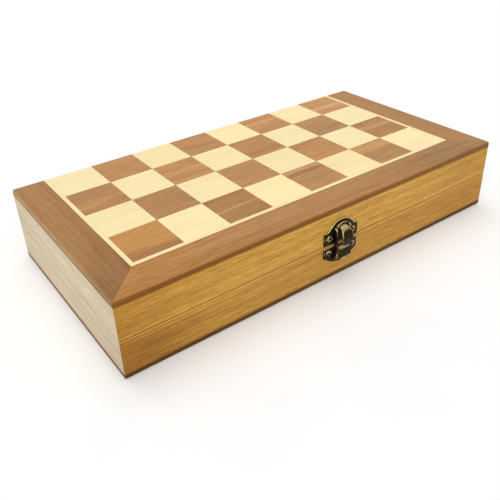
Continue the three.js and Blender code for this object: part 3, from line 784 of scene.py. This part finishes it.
def box_between(low, high, place):
    """A block between two corners in a man's own axes."""
    def build(bm):
        corners = [(a, b, c) for a in (0, 1) for b in (0, 1) for c in (0, 1)]
        ends = (low, high)
        verts = [bm.verts.new(place(ends[a][0], ends[b][1], ends[c][2])) for a, b, c in corners]
        sides = ((0, 1, 3, 2), (4, 6, 7, 5), (0, 4, 5, 1), (2, 3, 7, 6), (0, 2, 6, 4), (1, 5, 7, 3))
        for side in sides:
            bm.faces.new([verts[k] for k in side])

    return mesh_object("box", build)


def cross_outline():
    """The king's cross from the front: four arms that widen outwards."""
    arm, neck, end, middle = 3.1, 0.75, 1.25, 53.0
    points = [(-0.9, 49.2), (-neck, middle - neck)]
    points += [(-arm, middle - end), (-arm, middle + end), (-neck, middle + neck)]
    points += [(-end, 56.0)]
    return points + [(-u, h) for u, h in reversed(points)]


def add_cross(bm, place):
    block(bm, *([place(u, v, h) for u, h in cross_outline()] for v in (-1.1, 1.1)))


# The knight's head, as rings round a line that runs up the neck, over the poll and down to the
# muzzle: each is (forward, height), half its depth along the line's normal, and half its width.
HORSE = [
    ((-0.6, 10.0), 6.4, 5.6), ((-1.4, 14.0), 6.0, 4.6), ((-2.2, 19.0), 5.6, 3.9),
    ((-2.2, 24.0), 5.3, 3.7), ((-1.2, 28.6), 5.0, 3.7), ((1.2, 31.0), 4.5, 3.6),
    ((3.6, 30.4), 3.9, 3.3), ((5.6, 28.0), 3.2, 2.8), ((7.2, 25.4), 2.6, 2.4),
    ((8.2, 23.6), 2.3, 2.2), ((8.7, 22.6), 1.3, 1.3),
]


def tube(bm, rings, place, sides=20):
    """A closed body through elliptical rings, each ((u, h), half depth, half width)."""
    loops = []
    for k, ((u, h), deep, wide) in enumerate(rings):
        before, after = rings[max(k - 1, 0)][0], rings[min(k + 1, len(rings) - 1)][0]
        along = Vector((after[0] - before[0], after[1] - before[1])).normalized()
        across = Vector((along.y, -along.x))
        loop = []
        for step in range(sides):
            a = 2 * math.pi * step / sides
            out = deep * math.cos(a)
            loop.append(bm.verts.new(place(u + across.x * out, wide * math.sin(a), h + across.y * out)))
        loops.append(loop)
    for lower, upper in zip(loops, loops[1:]):
        wrap(bm, lower, upper)
    bm.faces.new(loops[0])
    bm.faces.new(loops[-1])


def add_horse(bm, place):
    """Neck and head, two ears, a ridged mane and the cheeks, run together later by the remesh."""
    tube(bm, HORSE, place)
    for side in (-1, 1):
        ear = [((0.2, 32.5), 1.7, 1.3), ((-0.1, 35.5), 1.5, 1.0), ((-0.5, 38.4), 0.35, 0.3)]
        tube(bm, ear, lambda u, v, h, side=side: place(u, v + side * (1.6 + (h - 32) * 0.08), h), 12)
        cheek = [((1.2, 26.2), 1.6, 0.8), ((2.4, 27.4), 2.8, 1.3), ((3.8, 28.2), 1.6, 0.8)]
        tube(bm, cheek, lambda u, v, h, side=side: place(u, v + side * 2.9, h), 12)
        brow = [((2.2, 32.2), 0.7, 0.6), ((3.9, 31.8), 1.1, 0.9), ((5.6, 30.4), 0.5, 0.5)]
        tube(bm, brow, lambda u, v, h, side=side: place(u, v + side * 2.7, h), 10)
        eye = [((3.5, 30.5), 0.3, 0.3), ((4.0, 30.1), 0.8, 0.7), ((4.5, 29.7), 0.3, 0.3)]
        tube(bm, eye, lambda u, v, h, side=side: place(u, v + side * 3.3, h), 10)
        nostril = [((7.3, 25.2), 0.4, 0.4), ((8.2, 24.2), 0.9, 0.7), ((8.8, 23.2), 0.5, 0.4)]
        tube(bm, nostril, lambda u, v, h, side=side: place(u, v + side * 1.9, h), 10)
    for k in range(9):
        h = 13.0 + 2.2 * k
        back = -7.2 - 0.9 * math.sin(math.pi * k / 10) + 0.22 * max(0, k - 5) ** 1.6
        root, tip = (back + 1.6, h + 1.2), (back - 0.5, h - 1.6)
        tube(bm, [(root, 1.3, 1.3), ((back, h), 1.2, 1.1), (tip, 0.4, 0.4)], place, 10)


def remesh(piece, voxel, smoothing):
    """Runs overlapping closed bodies together into one skin."""
    modifier = piece.modifiers.new("skin", "REMESH")
    modifier.mode = "VOXEL"
    modifier.voxel_size = voxel * MM
    modifier.use_smooth_shade = True
    smooth = piece.modifiers.new("smooth", "SMOOTH")
    smooth.factor = 0.5
    smooth.iterations = smoothing
    graph = bpy.context.evaluated_depsgraph_get()
    skin = bpy.data.meshes.new_from_object(piece.evaluated_get(graph))
    piece.modifiers.clear()
    old, piece.data = piece.data, skin
    bpy.data.meshes.remove(old)


def add_notch(bm, number, place):
    """The round bar that cuts one notch in the queen's coronet."""
    angle = 2 * math.pi * (number + 0.5) / CORONET_POINTS
    outwards = Vector((math.cos(angle), math.sin(angle)))
    side = Vector((-outwards.y, outwards.x))
    section = arc((0, 0), 1.25, 0, 330, 11)
    rims = []
    for reach in (4.4, 9.0):
        points = [(outwards * reach + side * u, CORONET_HEIGHT + h) for u, h in section]
        rims.append([place(p.x, p.y, h) for p, h in points])
    block(bm, *rims)


def build_man(name, kind, place):
    outline = bowed(OUTLINES[kind])

    def build(bm):
        lathe(bm, outline, MAN_SEGMENTS, place)
        if kind == "king":
            add_cross(bm, place)
        if kind == "knight":
            add_horse(bm, place)

    piece = mesh_object(name, build)
    if kind == "knight":
        remesh(piece, 0.42, 3)
    if kind == "rook":
        for low, high in (((-9, -1.0, 31.4), (9, 1.0, 36)), ((-1.0, -9, 31.4), (1.0, 9, 36))):
            carve(piece, box_between(low, high, place))
    if kind == "bishop":
        def slanted(u, v, h):
            return place(u + (h - 34) * 0.62, v, h)

        carve(piece, box_between((2.4, -6, 33.4), (3.5, 6, 41), slanted))
    if kind == "queen":
        for k in range(CORONET_POINTS):
            notch = mesh_object("notch", lambda bm, k=k: add_notch(bm, k, place))
            carve(piece, notch)
    if kind != "knight":
        shade_by_angle(piece)
    return piece


def add_men():
    for node in sorted(NODES):
        colour, _, rest = node.partition("_")
        if colour not in ("dark", "light"):
            continue
        kind = rest.split("_")[0]
        piece = build_man(f"{node}_turned", kind, lying(node))
        species = {"dark": "sheesham", "light": "boxwood"}[colour]
        tint = random.Random(node).uniform(0.92, 1.1)
        paint(piece, wood(f"{species}_{node}", species, "y", node, tint))
        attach(piece, {"dark": "base", "light": "lid"}[colour])
        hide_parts(node)


# ---------------------------------------------------------------- inserts

SLOT_ROOM = 0.5  # round each man
INSERT_PITCH = 0.9  # of the grid of an insert's open face
INSERT_FLOOR = 0.5  # the least foam left under a man
LIP_PASSES = 2
MAN_TOPS = {"king": 56, "knight": 39}  # the men who are taller than their turned outline
CROSS_FOOT, CROSS_REACH = 48, 3.4  # of the king's cross, with its room
KNIGHT_HEAD = (6, 42)  # the heights between which a knight's slot follows his head

# The knight's slot follows his neck, his ears and his mane: rings as in HORSE.
KNIGHT_SLOT = [
    HORSE,
    [((0.2, 32.5), 2.2, 3.4), ((-0.5, 38.2), 1.4, 2.8)],
    [((-6.4, 12), 2.6, 1.8), ((-7.6, 22), 2.4, 1.8), ((-6.0, 31), 2.6, 1.8)],
]


def slot_depth(u, h):
    """How deep the knight's slot is at a point ahead of his axis and above his foot."""
    depth = 0.0
    here = Vector((u, h))
    for rings in KNIGHT_SLOT:
        for (start, deep_0, wide_0), (end, deep_1, wide_1) in zip(rings, rings[1:]):
            along = Vector(end) - Vector(start)
            t = (here - Vector(start)).dot(along) / along.length_squared
            t = min(max(t, 0.0), 1.0)
            reach = deep_0 + (deep_1 - deep_0) * t + SLOT_ROOM + 0.3
            distance = (here - Vector(start) - along * t).length
            if distance < reach:
                wide = wide_0 + (wide_1 - wide_0) * t + SLOT_ROOM + 0.2
                depth = max(depth, wide * (1 - (distance / reach) ** 4) ** 0.5)
    return depth


def widest(outline, height, reach):
    """The largest radius of an outline within reach of a height."""
    steps = [height + reach * k / 4 for k in range(-4, 5)]
    best = 0.0
    for (r0, h0), (r1, h1) in zip(outline, outline[1:]):
        for h in steps:
            if min(h0, h1) <= h <= max(h0, h1):
                t = 0 if h1 == h0 else (h - h0) / (h1 - h0)
                best = max(best, r0 + (r1 - r0) * t)
    return best


def slot_radii():
    """For each kind of man, the radius of his slot at each millimetre of his height."""
    radii = {}
    for kind, points in OUTLINES.items():
        outline = bowed(points)
        top = MAN_TOPS.get(kind, max(h for _, h in outline))
        reach = [widest(outline, h, 1.2) for h in range(-1, math.ceil(top) + 2)]
        if kind == "king":
            reach = [max(r, CROSS_REACH) if k > CROSS_FOOT else r for k, r in enumerate(reach)]
        radii[kind] = [r + SLOT_ROOM if r else 0 for r in reach]
    return radii


class Slots:
    """The open face of an insert, as a grid of heights that the men are pressed into."""

    def __init__(self, half):
        self.low, self.high = span(f"{half}_insert")
        low, high = self.low, self.high
        self.upward = 1 if half == "base" else -1
        self.back, face = (low.z, high.z) if half == "base" else (high.z, low.z)
        self.columns = round((high.x - low.x) / INSERT_PITCH)
        self.rows = round((high.y - low.y) / INSERT_PITCH)
        self.heights = [[face] * (self.columns + 1) for _ in range(self.rows + 1)]
        self.step_x = (high.x - low.x) / self.columns
        self.step_y = (high.y - low.y) / self.rows

    def sink(self, row, column, floor, below):
        """Lowers a point of the grid to a floor, if that is deeper than it and than below."""
        if floor * self.upward < min(self.heights[row][column] * self.upward, below):
            self.heights[row][column] = floor

    def press_knight(self, x, z, distance):
        """A slot in the outline of a horse's head. distance turns a row into a height on him."""
        for row in range(1, self.rows):
            h = distance(row)
            if not KNIGHT_HEAD[0] < h < KNIGHT_HEAD[1]:
                continue
            for column in range(1, self.columns):
                depth = slot_depth(self.low.x + column * self.step_x - x, h)
                self.sink(row, column, z - self.upward * depth, z * self.upward)

    def press_turned(self, x, z, distance, radii):
        """A half round slot, with a radius for each millimetre of the man."""
        low, step_x, upward = self.low, self.step_x, self.upward
        bottom = (self.back + INSERT_FLOOR * upward) * upward
        for row in range(1, self.rows):
            h = distance(row) + 1
            k = math.floor(h)
            if not 0 <= k < len(radii) - 1:
                continue
            radius = radii[k] + (radii[k + 1] - radii[k]) * (h - k)
            first = max(1, math.floor((x - radius - low.x) / step_x))
            last = min(self.columns, math.ceil((x + radius - low.x) / step_x) + 1)
            for column in range(first, last):
                u = low.x + column * step_x - x
                if abs(u) < radius:
                    floor = z - upward * math.sqrt(radius * radius - u * u)
                    self.sink(row, column, max(floor * upward, bottom) * upward, math.inf)

    def soften_lips(self):
        """Sinks every sharp lip towards the mean of what is round it, as flocked foam does."""
        old = [list(line) for line in self.heights]
        for row in range(1, self.rows):
            for column in range(1, self.columns):
                beside = old[row - 1][column] + old[row + 1][column]
                beside = beside + old[row][column - 1] + old[row][column + 1]
                here = old[row][column]
                mean = beside / 8 + here / 2
                self.heights[row][column] = min(mean * self.upward, here * self.upward) * self.upward


def add_insert(half):
    """A flocked foam block with a rounded slot under each man."""
    node = f"{half}_insert"
    slots = Slots(half)
    radii = slot_radii()
    colour = {"base": "dark", "lid": "light"}[half]
    for man in (name for name in NODES if name.startswith(colour + "_")):
        kind = man.split("_")[1]
        man_low, man_high = span(man)
        x, z = (man_low.x + man_high.x) / 2, (man_low.z + man_high.z) / 2
        start, towards = (man_high.y, -1) if kind == "pawn" else (man_low.y, 1)

        def distance(row, start=start, towards=towards):
            return (slots.low.y + row * slots.step_y - start) * towards

        if kind == "knight":
            slots.press_knight(x, z, distance)
        slots.press_turned(x, z, distance, radii[kind])
    for _ in range(LIP_PASSES):
        slots.soften_lips()
    low, step_x, step_y = slots.low, slots.step_x, slots.step_y
    rows, columns, heights = slots.rows, slots.columns, slots.heights

    def build(bm):
        grid = []
        for row in range(rows + 1):
            y = low.y + row * step_y
            line = [bm.verts.new((low.x + c * step_x, y, heights[row][c])) for c in range(columns + 1)]
            grid.append(line)
        for row in range(rows):
            for c in range(columns):
                bm.faces.new((grid[row][c], grid[row][c + 1], grid[row + 1][c + 1], grid[row + 1][c]))
        rim = grid[0][:] + [line[-1] for line in grid[1:]]
        rim += grid[-1][-2::-1] + [line[0] for line in grid[-2:0:-1]]
        foot_ring = [bm.verts.new((v.co.x, v.co.y, slots.back)) for v in rim]
        wrap(bm, rim, foot_ring)
        bm.faces.new(foot_ring)

    piece = mesh_object(f"{node}_flocked", build, smooth=True)
    piece.data.set_sharp_from_angle(angle=math.radians(60))
    paint(piece, flock(f"flock_{half}"))
    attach(piece, half)
    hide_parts(node)


def flock(name):
    """Short dark green fibres, brushed a little one way and another."""
    s = Shader(name)
    place = s.millimetres()
    nap = s.noise(s.stretched(place, (0.35, 0.35, 0.35)), 3.0, 0.65)
    brushed = s.noise(s.stretched(place, (18, 11, 14)), 3.0, 0.6)
    tone = s.math("ADD", s.math("MULTIPLY", nap, 0.55), s.math("MULTIPLY", brushed, 0.45))
    colour = s.mix(s.range(tone, 0.35, 0.65), (*srgb(14, 44, 30), 1), (*srgb(34, 78, 54), 1))
    return s.finish(
        Base_Color=colour,
        Roughness=0.95,
        Normal=s.bump(nap, 0.2 * MM, 0.7),
        Sheen_Weight=0.35,
        Sheen_Roughness=0.5,
        Specular_IOR_Level=0.2,
    )


add_men()
for half_name in HALVES:
    add_insert(half_name)

# ---------------------------------------------------------------- camera, light and floor


def add_camera():
    data = bpy.data.cameras.new("camera")
    data.lens = 43.87
    data.shift_x = 0.0032
    data.shift_y = -0.0632
    data.clip_start = 0.01
    camera = bpy.data.objects.new("camera", data)
    camera.location = Vector((-230.2, -304.8, 234.5)) * MM
    camera.rotation_euler = [math.radians(angle) for angle in (59.42, 1.70, -36.34)]
    bpy.context.scene.collection.objects.link(camera)
    bpy.context.scene.camera = camera


def add_floor():
    def build(bm):
        reach = 60000
        prism(bm, [(-reach, -reach), (reach, -reach), (reach, reach), (-reach, reach)], -20, -0.05)

    floor = mesh_object("floor", build)
    s = Shader("floor_paper")
    mottle = s.noise(s.stretched(s.millimetres(), (60, 60, 60)), 2.0)
    tone = s.range(mottle, 0.3, 0.7, 0.94, 0.96)
    paint(floor, s.finish(Base_Color=s.grey(tone), Roughness=0.9, Specular_IOR_Level=0.1))


def add_light(name, towards, width, strength):
    """A soft light, far off in one direction, as wide as an angle in degrees."""
    data = bpy.data.lights.new(name, "SUN")
    data.angle = math.radians(width)
    data.energy = strength
    light = bpy.data.objects.new(name, data)
    light.rotation_euler = Vector(towards).to_track_quat("Z", "Y").to_euler()
    bpy.context.scene.collection.objects.link(light)


SKY_BAND = (0.12, 0.4)  # the sines of the elevations where the horizon's light starts and stops to fall


def add_world(horizon, zenith):
    """A white studio, brightest low down behind the floor."""
    world = bpy.data.worlds.new("studio")
    world.use_nodes = True
    nodes, link = world.node_tree.nodes, world.node_tree.links.new
    background = nodes["Background"]
    background.inputs[0].default_value = (1, 1, 1, 1)
    height, fall = nodes.new("ShaderNodeSeparateXYZ"), nodes.new("ShaderNodeMapRange")
    link(nodes.new("ShaderNodeTexCoord").outputs["Generated"], height.inputs[0])
    link(height.outputs[2], fall.inputs["Value"])
    for socket, value in enumerate((*SKY_BAND, horizon, zenith), 1):
        fall.inputs[socket].default_value = value
    link(fall.outputs[0], background.inputs[1])
    bpy.context.scene.world = world


add_camera()
add_floor()
add_world(1.0, 0.5)
add_light("key", (-2.4, -1.9, 2.7), 28, 1.30)
add_light("overhead", (0, 0.9, 3.6), 46, 0.85)
bpy.context.scene.view_settings.view_transform = "Standard"
